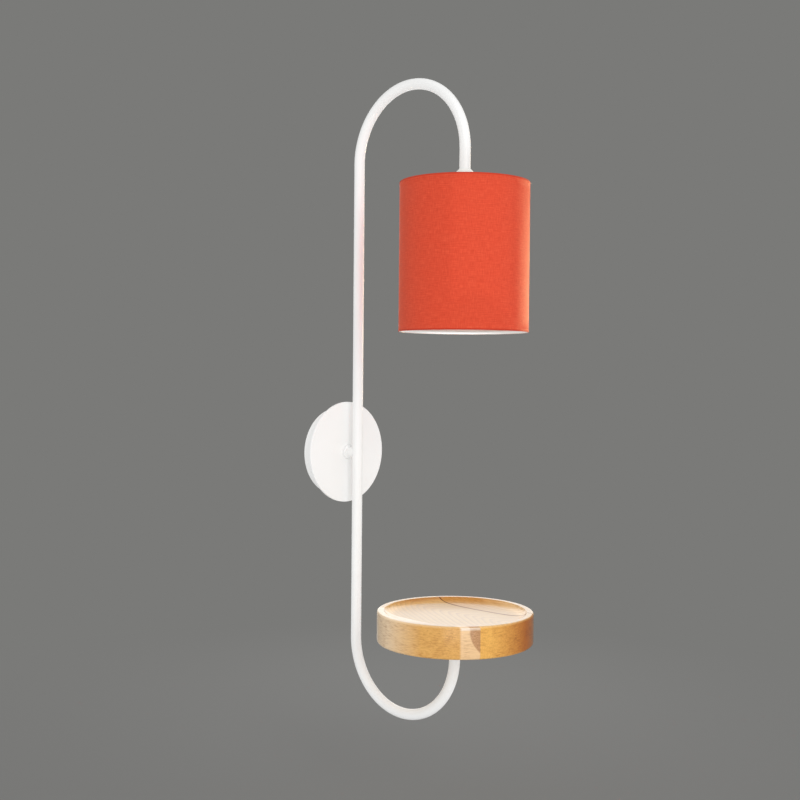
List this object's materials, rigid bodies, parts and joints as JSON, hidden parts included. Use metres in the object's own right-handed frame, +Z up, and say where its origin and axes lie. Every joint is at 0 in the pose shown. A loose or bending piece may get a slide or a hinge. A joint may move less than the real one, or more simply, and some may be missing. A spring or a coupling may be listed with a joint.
{
  "type": "wall lamp",
  "caption": "Wall lamp with a hooked white tube arm on a round wall plate, a red-orange fabric drum shade hung from the upper hook and a round wooden tray on the lower hook.",
  "frame": {"origin": "centre of the wall plate's back face, on the wall", "axes": "+Z up along the tube's long leg, +Y into the wall, -Y out towards the room, +X to the right"},
  "size_m": [0.17, 0.273, 0.7199],
  "materials": {
    "white_paint": "satin white powder coat",
    "zinc_steel": "bright zinc plate",
    "brass": "plain brass",
    "white_plastic": "moulded, fine satin",
    "porcelain": "unglazed",
    "shade_fabric": "plain woven cotton, red-orange",
    "shade_lining": "smooth white lining",
    "tray_wood": "clear lacquer on honey-coloured boards",
    "opal_globe": "opal, frosted",
    "black_glass": "glossy black",
    "bulb_aluminium": "rolled, bright",
    "brown_insulation": "smooth insulation",
    "blue_insulation": "smooth insulation",
    "green_insulation": "green and yellow insulation"
  },
  "bodies": {
    "lamp": {"arm_tube": "white_paint", "front_disc": "white_paint", "mounting_cup": "white_paint", "boss_collar": "white_paint", "boss_stub": "white_paint", "tray_flange": "white_paint", "shade_frame": "white_paint", "bottom_ring": "white_paint", "wall_bracket": "zinc_steel", "side_screws": "zinc_steel", "boss_nipple": "zinc_steel", "head_nipple": "zinc_steel", "lock_washer": "zinc_steel", "lock_nut": "zinc_steel", "tray_screws": "zinc_steel", "terminal_screws": "zinc_steel", "block_screw": "zinc_steel", "earth_screw": "zinc_steel", "holder_terminal_screws": "zinc_steel", "terminal_clamps": "brass", "earth_tag": "brass", "holder_terminals": "brass", "socket_shell": "brass", "centre_contact": "brass", "terminal_block": "white_plastic", "holder_cap": "white_plastic", "holder_body": "white_plastic", "shade_nut": "white_plastic", "holder_core": "porcelain", "shade_cover": "shade_fabric", "shade_liner": "shade_lining", "tray_board_left": "tray_wood", "tray_board_middle": "tray_wood", "tray_board_right": "tray_wood", "live_wire": "brown_insulation", "neutral_wire": "blue_insulation", "earth_wire": "green_insulation"},
    "bulb": {"bulb_globe": "opal_globe", "bulb_housing": "white_plastic", "bulb_cap": "bulb_aluminium", "bulb_insulator": "black_glass", "bulb_contact": "bulb_aluminium"}
  },
  "joints": [
    {"name": "bulb_slide", "type": "slide", "parent": "lamp", "child": "bulb", "axis": [0, 0, -1], "range_m": [0, 0.145]}
  ]
}
